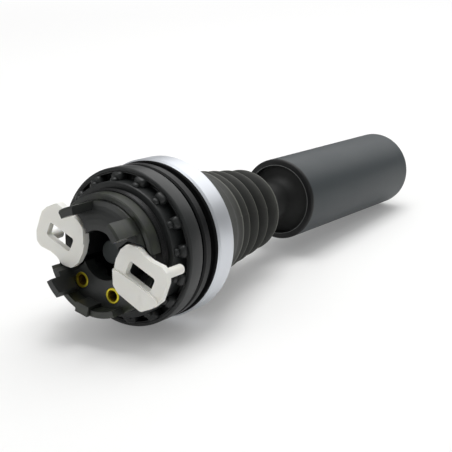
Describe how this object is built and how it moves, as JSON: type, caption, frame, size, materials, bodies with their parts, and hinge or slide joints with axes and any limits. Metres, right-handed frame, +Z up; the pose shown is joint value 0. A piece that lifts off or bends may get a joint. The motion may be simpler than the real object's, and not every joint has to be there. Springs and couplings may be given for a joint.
{
  "type": "industrial joystick",
  "caption": "Spring-return panel joystick with a metal bezel, rubber bellows, long grip, ring nut and coupled slotted plungers behind the panel.",
  "frame": {"origin": "stick axis at the gasket face that seals on the front of the panel, which is also where the threaded neck enters the panel hole", "axes": "+Y along the stick towards the operator, -Y behind the panel, +X towards the right-hand plunger as seen from behind the panel, +Z up; the stick swings about Z in the X-Y plane"},
  "size_m": [0.0298, 0.1132, 0.0298],
  "materials": {
    "black_housing": "moulded, satin black",
    "satin_metal": "satin silver",
    "black_rubber": "matt black rubber",
    "black_washer": "moulded, satin black",
    "grey_nylon": "moulded, satin charcoal",
    "black_cap": "moulded, satin black",
    "black_nylon": "moulded, plain black",
    "brass": "machined brass",
    "zinc_steel": "zinc plated",
    "natural_acetal": "natural acetal",
    "spring_steel": "drawn spring wire",
    "bellows_rubber": "moulded rubber, warm dark grey",
    "dark_steel": "blackened steel",
    "cast_zinc": "die cast",
    "grip_plastic": "fine-grained slate grey plastic",
    "white_nylon": "natural white nylon"
  },
  "bodies": {
    "housing": {"front_housing": "black_housing", "bezel_ring": "satin_metal", "panel_gasket": "black_rubber", "thrust_washer": "black_washer", "ring_nut": "grey_nylon", "end_cap": "black_cap", "threaded_inserts": "brass", "gate_plate": "zinc_steel", "bellows_retainer": "black_housing", "pivot_pin": "zinc_steel", "pivot_spacers": "natural_acetal", "centring_spring": "spring_steel", "bellows": "bellows_rubber"},
    "stick": {"stick_shaft": "dark_steel", "rocker": "cast_zinc", "spring_collar": "zinc_steel", "bellows_band": "black_rubber", "grip_lock_nut": "zinc_steel", "grip_insert": "natural_acetal", "grip_shell": "grip_plastic"},
    "plunger_left": {"left_plunger": "white_nylon", "left_slide": "black_nylon"},
    "plunger_right": {"right_plunger": "white_nylon", "right_slide": "black_nylon"}
  },
  "joints": [
    {"name": "stick_tilt", "type": "hinge", "parent": "housing", "child": "stick", "pos_m": [0, -0.004, 0], "axis": [0, 0, 1], "range_deg": [-15, 15], "stiffness_Nm_per_rad": 0.35, "deforming": ["bellows", "centring_spring"]},
    {"name": "left_plunger_slide", "type": "slide", "parent": "housing", "child": "plunger_left", "axis": [0, 1, 0], "range_m": [-0.0013, 0.0013]},
    {"name": "right_plunger_slide", "type": "slide", "parent": "housing", "child": "plunger_right", "axis": [0, 1, 0], "range_m": [-0.0013, 0.0013]}
  ],
  "couplings": [
    {"joint": "left_plunger_slide", "follows": "stick_tilt", "m_per_rad": -0.0049},
    {"joint": "right_plunger_slide", "follows": "stick_tilt", "m_per_rad": 0.0049}
  ]
}
